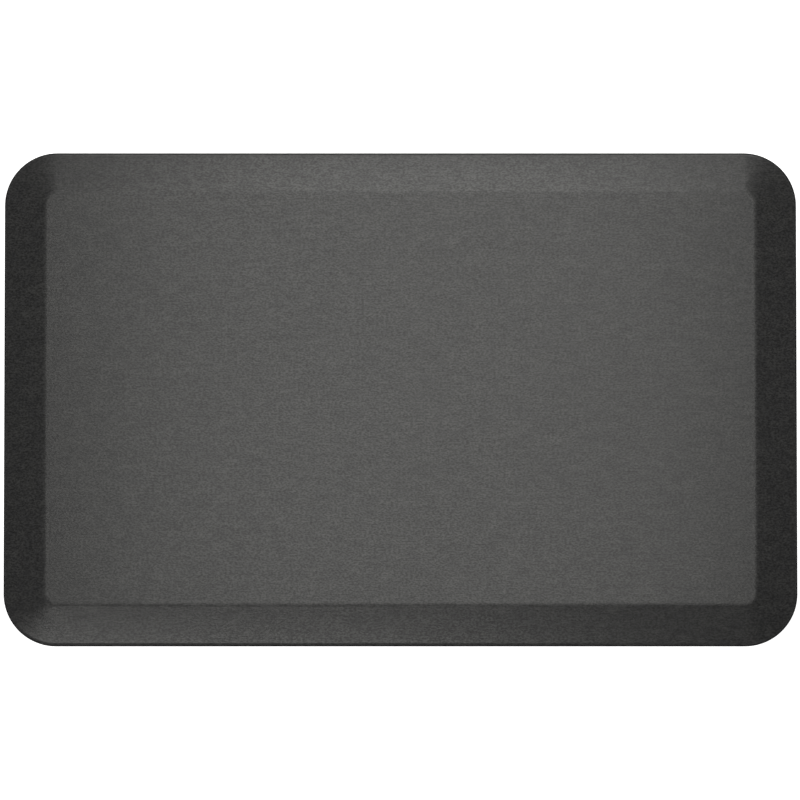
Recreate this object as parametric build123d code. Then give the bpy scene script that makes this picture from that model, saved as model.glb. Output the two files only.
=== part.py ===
"""Anti-fatigue mat: a moulded polyurethane standing mat with a bevelled border all round.

The mat lies on the XY plane, +Z up, with its origin at the middle of its underside. Its length runs
along X. It is moulded in three layers that stay together for life: a dense textured skin that you
stand on and that wraps down over the border, a soft foam core inside it, and a thin grip base whose
underside has raised round pads inside a flat rim.
"""

import os
from math import atan2, ceil, cos, degrees, hypot, sqrt, tan

from build123d import *

# Overall size of the mat, in millimetres
LENGTH = 812.8
WIDTH = 508.0
THICKNESS = 19.05
CORNER_RADIUS = 54.0

# Section through the border: a vertical side wall, a rounded lip, a slope and a soft crest
BEVEL_WIDTH = 41.5
EDGE_HEIGHT = 6.35
LIP_RADIUS = 5.8
CREST_RADIUS = 18.0

# Layers
SKIN_THICKNESS = 1.0
BASE_THICKNESS = 1.6
BASE_INSET = 0.3

# Underside of the grip base
RIM_WIDTH = 22.0
PAD_HEIGHT = 0.7
PAD_DIAMETER = 18.0
PAD_PITCH = 32.0
PAD_TO_RIM = 4.0

SLOPE = atan2(THICKNESS - EDGE_HEIGHT, BEVEL_WIDTH)

# How far an edge may stray from one height and still count as lying flat there
FLATNESS = 1e-4


def outline(inset):
    """The mat's plan outline, drawn in by inset all round."""
    return RectangleRounded(LENGTH - 2 * inset, WIDTH - 2 * inset, CORNER_RADIUS - inset)


def edges_at(form, height):
    """The edges of form that lie flat at one height."""
    level = [edge for edge in form.edges() if edge.bounding_box().size.Z < FLATNESS]
    return [edge for edge in level if abs(edge.center().Z - height) < FLATNESS]


def upper_form(inset):
    """The space above the grip base, every outer surface drawn in by inset along its own normal."""
    crest = THICKNESS - inset
    shoulder = EDGE_HEIGHT + inset * tan(SLOPE) - inset / cos(SLOPE)
    wall = extrude(Pos(0, 0, BASE_THICKNESS) * outline(inset), shoulder - BASE_THICKNESS)
    border = extrude(Pos(0, 0, shoulder) * outline(inset), crest - shoulder, taper=90 - degrees(SLOPE))
    form = wall + border
    form = fillet(edges_at(form, crest), CREST_RADIUS - inset)
    return fillet(edges_at(form, shoulder), LIP_RADIUS - inset)


def top_skin():
    """Wear skin: the standing surface, the sloping border and the lip, open underneath."""
    return upper_form(0) - upper_form(SKIN_THICKNESS)


def foam_core():
    """Cushion foam that fills the skin down to the grip base."""
    return upper_form(SKIN_THICKNESS)


def pad_centres():
    """Centres of the grip pads: staggered rows that keep clear of the rim's rounded corners."""
    half_length = LENGTH / 2 - RIM_WIDTH
    half_width = WIDTH / 2 - RIM_WIDTH
    corner = CORNER_RADIUS - RIM_WIDTH
    reach = PAD_DIAMETER / 2 + PAD_TO_RIM
    row_pitch = PAD_PITCH * sqrt(3) / 2
    rows = ceil(half_width / row_pitch)
    columns = ceil(half_length / PAD_PITCH)
    centres = []
    for row in range(-rows, rows + 1):
        stagger = PAD_PITCH / 2 if row % 2 else 0
        for column in range(-columns, columns + 1):
            x = column * PAD_PITCH + stagger
            y = row * row_pitch
            past_x = max(abs(x) - (half_length - corner), 0)
            past_y = max(abs(y) - (half_width - corner), 0)
            if hypot(past_x, past_y) + reach <= corner:
                centres.append((x, y))
    return centres


def grip_base():
    """Base sheet with a flat rim round a shallow recess, and round pads that stand level with the rim."""
    sheet = extrude(outline(BASE_INSET), BASE_THICKNESS)
    pads = Sketch() + [Pos(x, y) * Circle(PAD_DIAMETER / 2) for x, y in pad_centres()]
    recess = extrude(outline(RIM_WIDTH) - pads, PAD_HEIGHT)
    return sheet - recess


os.makedirs("parts", exist_ok=True)
for name, make in (("top_skin", top_skin), ("foam_core", foam_core), ("grip_base", grip_base)):
    solid = make()
    export_step(solid, f"parts/{name}.step")
    box = solid.bounding_box()
    litres = solid.volume / 1e6
    print(f"{name}: {len(solid.solids())} solid, {litres:.3f} litres, from {box.min.Z:.2f} to {box.max.Z:.2f} mm high")
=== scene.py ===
"""Looks of the anti-fatigue mat: moulded skin, foam and grip base, on a pale floor."""

import math

import bmesh
import bpy
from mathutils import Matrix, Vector, geometry, noise


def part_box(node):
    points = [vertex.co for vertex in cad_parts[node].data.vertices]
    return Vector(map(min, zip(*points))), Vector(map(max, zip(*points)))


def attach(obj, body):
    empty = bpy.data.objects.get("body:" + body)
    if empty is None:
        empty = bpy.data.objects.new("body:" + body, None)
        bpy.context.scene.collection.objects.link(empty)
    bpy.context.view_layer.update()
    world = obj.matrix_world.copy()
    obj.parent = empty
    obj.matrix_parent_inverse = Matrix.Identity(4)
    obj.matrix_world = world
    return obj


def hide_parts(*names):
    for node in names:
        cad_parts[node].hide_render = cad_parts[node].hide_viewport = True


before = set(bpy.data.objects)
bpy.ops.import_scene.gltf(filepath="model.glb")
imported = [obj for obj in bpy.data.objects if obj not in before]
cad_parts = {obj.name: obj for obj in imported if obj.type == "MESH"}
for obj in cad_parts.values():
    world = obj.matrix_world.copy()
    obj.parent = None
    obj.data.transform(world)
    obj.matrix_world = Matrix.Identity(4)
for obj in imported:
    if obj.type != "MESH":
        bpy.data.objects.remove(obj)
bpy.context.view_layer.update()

# Places that the frame gives, in metres
skin_low, skin_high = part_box("top_skin")
_, foam_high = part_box("foam_core")
_, base_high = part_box("grip_base")
HALF_LENGTH = skin_high.x
HALF_WIDTH = skin_high.y
THICKNESS = skin_high.z
BASE_TOP = skin_low.z
SKIN_THICKNESS = skin_high.z - foam_high.z
BASE_INSET = skin_high.x - base_high.x

# Section of the border, as in the CAD
CORNER_RADIUS = 0.054
BEVEL_WIDTH = 0.0415
EDGE_HEIGHT = 0.00635
LIP_RADIUS = 0.0058
CREST_RADIUS = 0.018
SLOPE = math.atan2(THICKNESS - EDGE_HEIGHT, BEVEL_WIDTH)

# Underside of the base, as in the CAD
RIM_WIDTH = 0.022
PAD_HEIGHT = 0.0007
PAD_RADIUS = 0.009
PAD_PITCH = 0.032
PAD_TO_RIM = 0.004

# Small roundings that only the looks have
SKIN_FOOT_RADIUS = 0.00025
BASE_EDGE_RADIUS = 0.0003
PAD_EDGE_RADIUS = 0.00025

# Where the middle of a small rounding lies, as a share of its radius in from the corner
ROUND_MIDDLE = 0.3

# The shallow dish in a pad's face: radii as shares of the pad's, depth as a share of its edge radius
DISH_RIM = 0.62
DISH_FOOT = 0.56
DISH_MIDDLE = 0.2
DISH_DEPTH = 0.6

# How far the sloping border bows up halfway
CROWN = 0.00016

# The fine creases along the soft top's crest
CREASE_DEPTH = 0.00003
CREASE_REACH = 0.004
CREASE_LENGTH = 0.02
CREASE_WIDTH = 0.0014

# The soft top's unevenness, slow and quick: cells per metre, planes of the noise that they are cut
# from, and shares of its depth
UNEVENNESS = 0.0003
SLOW_CELLS = 5
QUICK_CELLS = 14
SLOW_PLANE = 0.5
QUICK_PLANE = 7.5
SETTLED_SHARE = 0.5
SLOW_SHARE = 0.35
QUICK_SHARE = 0.25

# Fineness of the meshes
SKIN_SPACING = 0.004
COARSE_SPACING = 3 * SKIN_SPACING
SKIN_CORNER_STEPS = 24
COARSE_CORNER_STEPS = 12
PAD_STEPS = 28

# A triangle's middle is inside a pad if it is nearer to its centre than this share of its root radius
INSIDE_PAD = 0.98

# Points closer than this become one, and edges shorter than this vanish
WELD_DISTANCE = 1e-6
SHORTEST_EDGE = 1e-7


# ---------------------------------------------------------------- mesh building

class Surface:
    """Vertices and faces gathered from strips and patches, welded into one mesh at the end."""

    def __init__(self):
        self.points = []
        self.faces = []

    def add(self, points, faces):
        """Adds points, and faces that count from the first of them."""
        start = len(self.points)
        self.points += points
        self.faces += [[start + i for i in face] for face in faces]

    def mesh(self, name):
        """Makes the welded, smooth-shaded mesh and its object."""
        made = bmesh.new()
        corners = [made.verts.new(p) for p in self.points]
        for face in self.faces:
            made.faces.new([corners[i] for i in face])
        bmesh.ops.remove_doubles(made, verts=made.verts, dist=WELD_DISTANCE)
        bmesh.ops.dissolve_degenerate(made, edges=made.edges, dist=SHORTEST_EDGE)
        bmesh.ops.recalc_face_normals(made, faces=made.faces)
        data = bpy.data.meshes.new(name)
        made.to_mesh(data)
        made.free()
        data.shade_smooth()
        piece = bpy.data.objects.new(name, data)
        bpy.context.scene.collection.objects.link(piece)
        return piece


def around(spacing, corner_steps):
    """Once round the mat: points of the inner rectangle, each with the direction out to the border."""
    reach_x = HALF_LENGTH - CORNER_RADIUS
    reach_y = HALF_WIDTH - CORNER_RADIUS
    corners = [(reach_x, -reach_y), (reach_x, reach_y), (-reach_x, reach_y), (-reach_x, -reach_y)]
    stops = []
    for side in range(4):
        start, end = Vector(corners[side]), Vector(corners[(side + 1) % 4])
        turn = side * math.pi / 2
        steps = round((end - start).length / spacing)
        for i in range(steps):
            stops.append((start.lerp(end, i / steps), turn))
        for i in range(corner_steps):
            stops.append((end, turn + i / corner_steps * math.pi / 2))
    return [(point, Vector((math.cos(turn), math.sin(turn)))) for point, turn in stops]


def crest_relief(anchor, outward, inset):
    """Height of the fine creases along the crest, where the skin is bent over the foam."""
    from_crest = (inset - BEVEL_WIDTH) / CREASE_REACH
    along = (anchor + outward * (CORNER_RADIUS - BEVEL_WIDTH)) / CREASE_LENGTH
    ridges = noise.noise((along.x, along.y, inset / CREASE_WIDTH))
    return CREASE_DEPTH * math.exp(-from_crest**2) * ridges


def add_sweep(surface, section, stops, relief=None):
    """Sweeps a section, as (distance in from the outline, height) points, round the mat."""
    count = len(stops)
    points = []
    for inset, height in section:
        for anchor, outward in stops:
            place = anchor + outward * (CORNER_RADIUS - inset)
            rise = relief(anchor, outward, inset) if relief else 0
            points.append((place.x, place.y, height + rise))
    faces = []
    for ring in range(len(section) - 1):
        for i in range(count):
            j = (i + 1) % count
            near, far = ring * count, (ring + 1) * count
            faces.append([near + i, near + j, far + j, far + i])
    surface.add(points, faces)


def add_field(surface, height, spacing):
    """The flat rectangle inside the swept border, as a grid."""
    reach_x = HALF_LENGTH - CORNER_RADIUS
    reach_y = HALF_WIDTH - CORNER_RADIUS
    columns = round(2 * reach_x / spacing)
    rows = round(2 * reach_y / spacing)
    points = [
        (reach_x * (2 * i / columns - 1), reach_y * (2 * j / rows - 1), height)
        for j in range(rows + 1)
        for i in range(columns + 1)
    ]
    faces = []
    for j in range(rows):
        for i in range(columns):
            k = j * (columns + 1) + i
            faces.append([k, k + 1, k + columns + 2, k + columns + 1])
    surface.add(points, faces)


def arc(centre, radius, start, end, steps):
    """Points of an arc in the section plane; angles run from straight up, outwards and down."""
    turns = [start + (end - start) * i / steps for i in range(steps + 1)]
    return [(centre[0] - radius * math.sin(t), centre[1] + radius * math.cos(t)) for t in turns]


def evenly(steps):
    """Shares of the way strictly between 0 and 1."""
    return [i / steps for i in range(1, steps)]


def between(start, end, shares, crown=0.0):
    """Points at shares of the way from start to end, bowed upwards by crown halfway."""
    along = end[0] - start[0]
    up = end[1] - start[1]
    return [(start[0] + along * t, start[1] + up * t + crown * 4 * t * (1 - t)) for t in shares]


def border_section(inset, fineness):
    """The mat's upper section drawn in by inset, from the flat top out over the crest, the slope and
    the lip, to the side wall."""
    top = THICKNESS - inset
    shoulder = EDGE_HEIGHT + inset * math.tan(SLOPE) - inset / math.cos(SLOPE)
    bevel = (top - shoulder) / math.tan(SLOPE)
    crest_radius = CREST_RADIUS - inset
    lip_radius = LIP_RADIUS - inset
    crest_reach = crest_radius * math.tan(SLOPE / 2)
    lip_reach = lip_radius * math.tan((math.pi / 2 - SLOPE) / 2)
    crest_centre = (inset + bevel + crest_reach, top - crest_radius)
    lip_centre = (inset + lip_radius, shoulder - lip_reach)
    crest = arc(crest_centre, crest_radius, 0, SLOPE, 2 * fineness)
    lip = arc(lip_centre, lip_radius, SLOPE, math.pi / 2, 3 * fineness)
    middle = (CORNER_RADIUS, top)
    above = (crest[0][0] + CREASE_REACH, top)
    creased = CREASE_REACH / (crest[-1][0] - lip[0][0])
    near_crest = [creased * t for t in evenly(2 * fineness) + [1]]
    near_lip = [creased + (1 - creased) * t for t in evenly(4 * fineness)]
    return (
        [middle]
        + between(middle, above, evenly(fineness))
        + [above]
        + between(above, crest[0], evenly(2 * fineness))
        + crest
        + between(crest[-1], lip[0], near_crest + near_lip, CROWN)
        + lip
    )


# ---------------------------------------------------------------- the three pieces

def settle(piece):
    """Lets the upper surfaces lie a little below their nominal height, unevenly, as cast foam does."""
    for vertex in piece.data.vertices:
        x, y, z = vertex.co
        slow = noise.noise((x * SLOW_CELLS, y * SLOW_CELLS, SLOW_PLANE))
        quick = noise.noise((x * QUICK_CELLS, y * QUICK_CELLS, QUICK_PLANE))
        dip = UNEVENNESS * (SETTLED_SHARE + SLOW_SHARE * slow + QUICK_SHARE * quick)
        share = max(z - EDGE_HEIGHT, 0) / (THICKNESS - EDGE_HEIGHT)
        vertex.co.z = z - dip * share


def skin_shell():
    """The moulded skin: standing surface, sloping border and lip, one millimetre thick."""
    stops = around(SKIN_SPACING, SKIN_CORNER_STEPS)
    outer = border_section(0, fineness=4)
    foot_centre = (SKIN_FOOT_RADIUS, BASE_TOP + SKIN_FOOT_RADIUS)
    foot = arc(foot_centre, SKIN_FOOT_RADIUS, math.pi / 2, math.pi, 3)
    inner = border_section(SKIN_THICKNESS, fineness=2)
    hem = [(SKIN_THICKNESS, BASE_TOP)]
    surface = Surface()
    add_field(surface, THICKNESS, SKIN_SPACING)
    add_sweep(surface, outer, stops, crest_relief)
    add_sweep(surface, outer[-1:] + foot + hem + inner[::-1], stops)
    add_field(surface, THICKNESS - SKIN_THICKNESS, SKIN_SPACING)
    piece = surface.mesh("skin_shell")
    settle(piece)
    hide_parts("top_skin")
    return piece


def foam_block():
    """The foam under the skin, cast against it, with a flat underside on the base."""
    stops = around(COARSE_SPACING, COARSE_CORNER_STEPS)
    upper = border_section(SKIN_THICKNESS, fineness=2)
    surface = Surface()
    add_field(surface, THICKNESS - SKIN_THICKNESS, COARSE_SPACING)
    add_sweep(surface, upper + [(SKIN_THICKNESS, BASE_TOP), (CORNER_RADIUS, BASE_TOP)], stops)
    add_field(surface, BASE_TOP, COARSE_SPACING)
    piece = surface.mesh("foam_block")
    settle(piece)
    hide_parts("foam_core")
    return piece


def pad_centres():
    """Centres of the grip pads, in staggered rows clear of the rim."""
    half_length = HALF_LENGTH - RIM_WIDTH
    half_width = HALF_WIDTH - RIM_WIDTH
    corner = CORNER_RADIUS - RIM_WIDTH
    reach = PAD_RADIUS + PAD_TO_RIM
    row_pitch = PAD_PITCH * math.sqrt(3) / 2
    rows = math.ceil(half_width / row_pitch)
    columns = math.ceil(half_length / PAD_PITCH)
    centres = []
    for row in range(-rows, rows + 1):
        stagger = PAD_PITCH / 2 if row % 2 else 0
        for column in range(-columns, columns + 1):
            x = column * PAD_PITCH + stagger
            y = row * row_pitch
            past_x = max(abs(x) - (half_length - corner), 0)
            past_y = max(abs(y) - (half_width - corner), 0)
            if math.hypot(past_x, past_y) + reach <= corner:
                centres.append(Vector((x, y)))
    return centres


def add_pad(surface, centre, root):
    """One round pad: a small cove at its root, a rounded edge and a shallow dish."""
    edge = PAD_EDGE_RADIUS
    middle = edge * ROUND_MIDDLE
    profile = [
        (root, PAD_HEIGHT),
        (PAD_RADIUS + middle, PAD_HEIGHT - middle),
        (PAD_RADIUS, PAD_HEIGHT - edge),
        (PAD_RADIUS, edge),
        (PAD_RADIUS - middle, middle),
        (PAD_RADIUS - edge, 0),
        (PAD_RADIUS * DISH_RIM, 0),
        (PAD_RADIUS * DISH_FOOT, edge * DISH_DEPTH),
        (PAD_RADIUS * DISH_MIDDLE, edge * DISH_DEPTH),
    ]
    turns = [2 * math.pi * i / PAD_STEPS for i in range(PAD_STEPS)]
    points = [
        (centre.x + radius * math.cos(t), centre.y + radius * math.sin(t), height)
        for radius, height in profile
        for t in turns
    ]
    faces = []
    for ring in range(len(profile) - 1):
        near, far = ring * PAD_STEPS, (ring + 1) * PAD_STEPS
        for i in range(PAD_STEPS):
            j = (i + 1) % PAD_STEPS
            faces.append([near + i, near + j, far + j, far + i])
    faces.append([(len(profile) - 1) * PAD_STEPS + i for i in range(PAD_STEPS)])
    surface.add(points, faces)


def add_recess(surface, centres, root, stops):
    """The recess's flat ceiling, with a hole for each pad."""
    rim = [anchor + outward * (CORNER_RADIUS - RIM_WIDTH) for anchor, outward in stops]
    points = list(rim)
    edges = [(i, (i + 1) % len(rim)) for i in range(len(rim))]
    for centre in centres:
        start = len(points)
        for i in range(PAD_STEPS):
            t = 2 * math.pi * i / PAD_STEPS
            points.append(centre + root * Vector((math.cos(t), math.sin(t))))
            edges.append((start + i, start + (i + 1) % PAD_STEPS))
    flat, _, triangles = geometry.delaunay_2d_cdt(points, edges, [], 1, SHORTEST_EDGE)[:3]
    rows = {}
    for centre in centres:
        rows.setdefault(round(centre.y / PAD_PITCH), []).append(centre)

    def in_pad(face):
        """Whether a triangle's middle lies inside a pad's root circle."""
        middle = sum((flat[i] for i in face), Vector((0, 0))) / 3
        row = round(middle.y / PAD_PITCH)
        near = rows.get(row - 1, []) + rows.get(row, []) + rows.get(row + 1, [])
        return any((middle - c).length < root * INSIDE_PAD for c in near)

    kept = [list(face) for face in triangles if not in_pad(face)]
    surface.add([(p.x, p.y, PAD_HEIGHT) for p in flat], kept)


def grip_sheet():
    """The non-slip base: a flat rim round a shallow recess full of round pads."""
    stops = around(COARSE_SPACING, COARSE_CORNER_STEPS)
    centres = pad_centres()
    root = PAD_RADIUS + PAD_EDGE_RADIUS
    edge = BASE_EDGE_RADIUS
    outside = (
        [(CORNER_RADIUS, BASE_TOP)]
        + arc((BASE_INSET + edge, BASE_TOP - edge), edge, 0, math.pi / 2, 3)
        + arc((BASE_INSET + edge, edge), edge, math.pi / 2, math.pi, 3)
    )
    rim = [
        (RIM_WIDTH - edge, 0),
        (RIM_WIDTH - edge * ROUND_MIDDLE, edge * ROUND_MIDDLE),
        (RIM_WIDTH, edge),
        (RIM_WIDTH, PAD_HEIGHT),
    ]
    surface = Surface()
    add_field(surface, BASE_TOP, COARSE_SPACING)
    add_sweep(surface, outside + rim, stops)
    add_recess(surface, centres, root, stops)
    for centre in centres:
        add_pad(surface, centre, root)
    piece = surface.mesh("grip_sheet")
    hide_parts("grip_base")
    return piece


# ---------------------------------------------------------------- materials

# Cells of the skin's moulded grain and of its long fine streaks, per metre along X, Y and Z
GRAIN_CELLS = (400, 680, 680)
STREAK_CELLS = (70, 600, 600)
GRAIN_HEIGHT = 0.00007

# What the pebbles, the ripples and the streaks each add to the grain
PEBBLE_SHARE = 0.15
RIPPLE_SHARE = 0.65
STREAK_SHARE = 0.2

# The grain's contrast is lowered towards the mat's ends, from FADE_START to FADE_END away from the
# middle: in its colour this is painted light, standing in for the weaker light on the ends
GRAIN_MEAN = 0.55
GRAIN_AT_ENDS = 0.8
FADE_START = 0.08
FADE_END = 0.27

# Slow changes over the skin, in cells per metre: mottling in its colour, and wear in its gloss
MOTTLE_CELLS = (60, 90, 90)
WEAR_CELLS = (7, 9, 9)
WEAR_ROUGHNESS = 0.03

# Skin colour in the pits of its grain, near black there as painted shade, and between two tones on the
# tips
PIT_SHADE_COLOUR = (0.0010, 0.0010, 0.0010)
TIP_DARK = (0.0385, 0.0385, 0.0392)
TIP_LIGHT = (0.0555, 0.0552, 0.0540)
PIT_ROUGHNESS = 0.39
TIP_ROUGHNESS = 0.28

# The foam's closed cells, per metre, and the dimples that they leave in it
FOAM_CELLS = (1400, 1400, 1400)
FOAM_CELL_DEPTH = 0.0003
# Foam colour at the bottom of each dimple and at its rim: the darker bottoms are painted shade
FOAM_DARK = (0.012, 0.012, 0.012)
FOAM_LIGHT = (0.05, 0.05, 0.05)
FOAM_ROUGHNESS = 0.9

# The grip rubber's grain and its slow patches, per metre
RUBBER_CELLS = (1500, 1500, 1500)
RUBBER_PATCHES = (25, 25, 25)
RUBBER_GRAIN_HEIGHT = 0.00008
RUBBER_DARK = (0.012, 0.012, 0.012)
RUBBER_LIGHT = (0.024, 0.024, 0.024)
RUBBER_ROUGHNESS = (0.55, 0.75)


class Nodes:
    """A material's node tree, with short ways to add nodes and links."""

    def __init__(self, name):
        self.material = bpy.data.materials.new(name)
        self.material.use_nodes = True
        self.tree = self.material.node_tree
        self.shader = self.tree.nodes["Principled BSDF"]
        self.place = self.tree.nodes.new("ShaderNodeTexCoord").outputs["Object"]

    def add(self, kind, values=(), **settings):
        """Adds a node with its settings, and sets or links its inputs."""
        node = self.tree.nodes.new(kind)
        for key, value in settings.items():
            setattr(node, key, value)
        for key, value in dict(values).items():
            if isinstance(value, bpy.types.NodeSocket):
                self.tree.links.new(value, node.inputs[key])
            else:
                node.inputs[key].default_value = value
        return node

    def scaled(self, scale):
        """The piece's coordinates times scale, in cells per metre along X, Y and Z."""
        return self.add("ShaderNodeMapping", {"Vector": self.place, "Scale": scale}).outputs["Vector"]

    def noise(self, scale, detail=2.0, roughness=0.5):
        """Noise from 0 to 1 with cells of 1 / scale metres."""
        values = {"Vector": self.scaled(scale), "Scale": 1.0, "Detail": detail, "Roughness": roughness}
        return self.add("ShaderNodeTexNoise", values).outputs["Fac"]

    def math(self, operation, a, b=0.0, c=0.0):
        """One arithmetic node on numbers or sockets."""
        node = self.add("ShaderNodeMath", operation=operation)
        for socket, value in zip(node.inputs, (a, b, c)):
            if isinstance(value, bpy.types.NodeSocket):
                self.tree.links.new(value, socket)
            else:
                socket.default_value = value
        return node.outputs["Value"]

    def range(self, value, low, high):
        """value, from 0 to 1, spread to low to high."""
        return self.math("MULTIPLY_ADD", value, high - low, low)

    def contrast(self, value, low, high):
        """value with low to high stretched to the full 0 to 1."""
        values = {"Value": value, "From Min": low, "From Max": high}
        return self.add("ShaderNodeMapRange", values).outputs["Result"]

    def off_middle(self):
        """How far along the mat a point lies from its middle, in metres."""
        split = self.add("ShaderNodeSeparateXYZ", {"Vector": self.place})
        return self.math("ABSOLUTE", split.outputs["X"])

    def cells(self, scale, **settings):
        """Distance to the nearest of random points, in cells of 1 / scale metres."""
        values = {"Vector": self.scaled(scale), "Scale": 1.0}
        return self.add("ShaderNodeTexVoronoi", values, **settings).outputs["Distance"]

    def blend(self, factor, dark, light):
        """A colour between dark and light, each a colour or another colour's socket."""
        node = self.add("ShaderNodeMix", {"Factor": factor}, data_type="RGBA")
        for name, colour in (("A", dark), ("B", light)):
            socket = [s for s in node.inputs if s.name == name and s.type == "RGBA"][0]
            if isinstance(colour, bpy.types.NodeSocket):
                self.tree.links.new(colour, socket)
            else:
                socket.default_value = (*colour, 1)
        return node.outputs["Result"]

    def bump(self, height, distance):
        """The surface's normal where a height of 0 to 1 stands distance metres high."""
        values = {"Height": height, "Distance": distance, "Strength": 1.0}
        return self.add("ShaderNodeBump", values).outputs["Normal"]

    def finish(self, piece, **sockets):
        """Sets or links the shader's sockets, and gives the material to piece."""
        for name, value in sockets.items():
            target = self.shader.inputs[name.replace("_", " ").title()]
            if isinstance(value, bpy.types.NodeSocket):
                self.tree.links.new(value, target)
            else:
                target.default_value = value
        piece.data.materials.append(self.material)


def skin_material(piece):
    """Dense matte polyurethane, moulded with a fine pebble grain that is drawn out along the mat."""
    nodes = Nodes("wear_skin")
    pebbles = nodes.contrast(nodes.cells(GRAIN_CELLS, feature="SMOOTH_F1"), 0.85, 0.15)
    ripples = nodes.contrast(nodes.noise(GRAIN_CELLS), 0.38, 0.62)
    streaks = nodes.contrast(nodes.noise(STREAK_CELLS, 1.0), 0.34, 0.66)
    rippled = nodes.math("MULTIPLY", ripples, RIPPLE_SHARE)
    pebbled = nodes.math("MULTIPLY_ADD", pebbles, PEBBLE_SHARE, rippled)
    moulded = nodes.math("MULTIPLY_ADD", streaks, STREAK_SHARE, pebbled)
    # Lowers the grain towards the ends: painted light in the colour, where the mat is less lit, and a
    # shallower bump and less varied gloss there too
    depth = nodes.range(nodes.contrast(nodes.off_middle(), FADE_START, FADE_END), 1.0, GRAIN_AT_ENDS)
    grain = nodes.math("MULTIPLY_ADD", nodes.math("SUBTRACT", moulded, GRAIN_MEAN), depth, GRAIN_MEAN)
    mottle = nodes.contrast(nodes.noise(MOTTLE_CELLS, 3.0, 0.8), 0.36, 0.64)
    wear = nodes.range(nodes.noise(WEAR_CELLS, 3.0, 0.6), -WEAR_ROUGHNESS, WEAR_ROUGHNESS)
    nodes.finish(
        piece,
        # The colour is near black in the grain's pits: painted shade, laid over the grain's own tone
        # and its random mottle
        base_color=nodes.blend(grain, PIT_SHADE_COLOUR, nodes.blend(mottle, TIP_DARK, TIP_LIGHT)),
        roughness=nodes.math("ADD", nodes.range(grain, PIT_ROUGHNESS, TIP_ROUGHNESS), wear),
        normal=nodes.bump(grain, GRAIN_HEIGHT),
    )


def foam_material(piece):
    """Closed cells of black cushion foam."""
    nodes = Nodes("cushion_foam")
    depth = nodes.cells(FOAM_CELLS)
    nodes.finish(
        piece,
        # Darker towards each dimple's bottom, with the bump's height: painted shade
        base_color=nodes.blend(depth, FOAM_DARK, FOAM_LIGHT),
        roughness=FOAM_ROUGHNESS,
        normal=nodes.bump(depth, FOAM_CELL_DEPTH),
    )


def base_material(piece):
    """Black grip rubber with a fine matte grain."""
    nodes = Nodes("grip_rubber")
    grain = nodes.noise(RUBBER_CELLS, 2.0, 0.6)
    patches = nodes.noise(RUBBER_PATCHES, 3.0, 0.6)
    nodes.finish(
        piece,
        base_color=nodes.blend(patches, RUBBER_DARK, RUBBER_LIGHT),
        roughness=nodes.range(grain, *RUBBER_ROUGHNESS),
        normal=nodes.bump(grain, RUBBER_GRAIN_HEIGHT),
    )


# ---------------------------------------------------------------- stage

CAMERA_DISTANCE = 10.0
CAMERA_TILT = math.radians(5.3)
CAMERA_AIM = (-0.0005, -0.001)
FRAME_WIDTH = 0.8203
SENSOR = 36.0
FARTHEST_VIEW = 100.0
FLOOR_SIZE = 120.0
FLOOR_GAP = 0.00005
FLOOR_COLOUR = (0.9, 0.9, 0.9)
FLOOR_ROUGHNESS = 0.7
FLOOR_GLOW = 1.1
LIGHT_HEIGHT = 0.9
LIGHT_COLOUR = (1.0, 0.995, 0.965)

# World brightness by height of direction, from straight down (-1) to straight up (1)
WORLD_BANDS = [(-1.0, 0.02), (-0.08, 0.02), (-0.03, 1.0), (0.04, 1.0), (0.15, 0.25), (1.0, 0.12)]

# The back softbox leans back over the floor
BACK_HEIGHT = 0.42
BACK_TILT = math.radians(75)


def camera():
    """A distant camera that looks almost straight down, from slightly towards -Y."""
    data = bpy.data.cameras.new("camera")
    data.sensor_width = SENSOR
    data.lens = SENSOR * CAMERA_DISTANCE / FRAME_WIDTH
    data.clip_end = FARTHEST_VIEW
    view = bpy.data.objects.new("camera", data)
    aim = Vector((*CAMERA_AIM, THICKNESS / 4))
    back = Vector((0, -math.sin(CAMERA_TILT), math.cos(CAMERA_TILT)))
    view.location = aim + back * CAMERA_DISTANCE
    view.rotation_mode = "QUATERNION"
    view.rotation_quaternion = (-back).to_track_quat("-Z", "Y")
    bpy.context.scene.collection.objects.link(view)
    bpy.context.scene.camera = view


def floor():
    """A backlit white table, which reaches past every view and throws no light up under the mat."""
    half = FLOOR_SIZE / 2
    corners = [(-half, -half, 0), (half, -half, 0), (half, half, 0), (-half, half, 0)]
    surface = Surface()
    surface.add(corners, [[0, 1, 2, 3]])
    ground = surface.mesh("floor")
    nodes = Nodes("floor_paint")
    white = (*FLOOR_COLOUR, 1)
    nodes.finish(
        ground,
        base_color=white,
        roughness=FLOOR_ROUGHNESS,
        emission_color=white,
        emission_strength=FLOOR_GLOW,
    )
    ground.location.z = -FLOOR_GAP
    ground.visible_diffuse = False
    ground.visible_glossy = False


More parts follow.
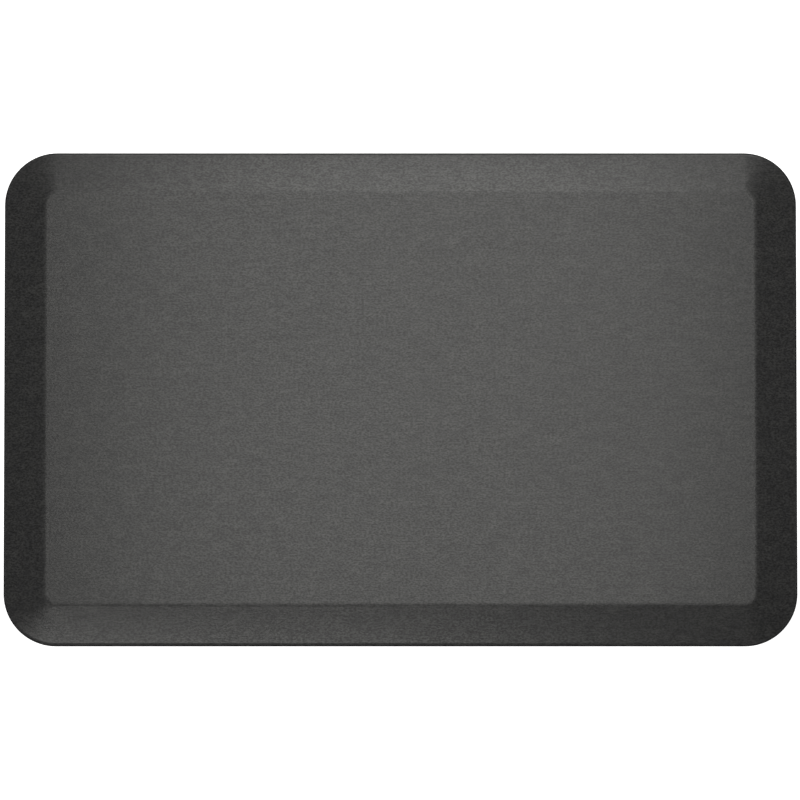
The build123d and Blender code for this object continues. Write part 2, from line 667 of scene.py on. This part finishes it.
def soft_light(name, place, size, radiance, tilt=0.0):
    """A softbox that faces down, or is tilted towards -Y, and is as bright as radiance all over."""
    data = bpy.data.lights.new(name, "AREA")
    data.shape = "RECTANGLE"
    data.size, data.size_y = size
    data.energy = radiance * math.pi * size[0] * size[1]
    data.color = LIGHT_COLOUR
    light = bpy.data.objects.new(name, data)
    light.location = place
    light.rotation_euler.x = -tilt
    light.visible_camera = False
    bpy.context.scene.collection.objects.link(light)


def studio():
    """Dim surroundings with a white band along the horizon, and four softboxes."""
    world = bpy.data.worlds.new("studio")
    world.use_nodes = True
    tree = world.node_tree
    place = tree.nodes.new("ShaderNodeTexCoord")
    split = tree.nodes.new("ShaderNodeSeparateXYZ")
    spread = tree.nodes.new("ShaderNodeMapRange")
    ramp = tree.nodes.new("ShaderNodeValToRGB")
    spread.inputs["From Min"].default_value = -1
    tree.links.new(place.outputs["Generated"], split.inputs[0])
    tree.links.new(split.outputs["Z"], spread.inputs["Value"])
    tree.links.new(spread.outputs["Result"], ramp.inputs["Fac"])
    tree.links.new(ramp.outputs["Color"], tree.nodes["Background"].inputs["Color"])
    bands = ramp.color_ramp.elements
    while len(bands) > 1:
        bands.remove(bands[0])
    for i, (height, glow) in enumerate(WORLD_BANDS):
        band = bands[0] if i == 0 else bands.new((height + 1) / 2)
        band.position = (height + 1) / 2
        band.color = (glow, glow, glow, 1)
    bpy.context.scene.world = world
    bpy.context.scene.view_settings.view_transform = "Standard"
    soft_light("overhead", (0.02, 0.17, LIGHT_HEIGHT), (0.8, 1.01), 2.23)
    soft_light("far_strip", (0.045, 0.89, LIGHT_HEIGHT), (0.68, 0.36), 4.6)
    soft_light("near_strip", (-0.42, -0.95, LIGHT_HEIGHT), (1.15, 0.31), 4.3)
    soft_light("back_strip", (0.12, 1.3, BACK_HEIGHT), (1.1, 0.6), 2.1, BACK_TILT)


skin = skin_shell()
foam = foam_block()
base = grip_sheet()
skin_material(skin)
foam_material(foam)
base_material(base)
for piece in (skin, foam, base):
    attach(piece, "root")

floor()
studio()
camera()
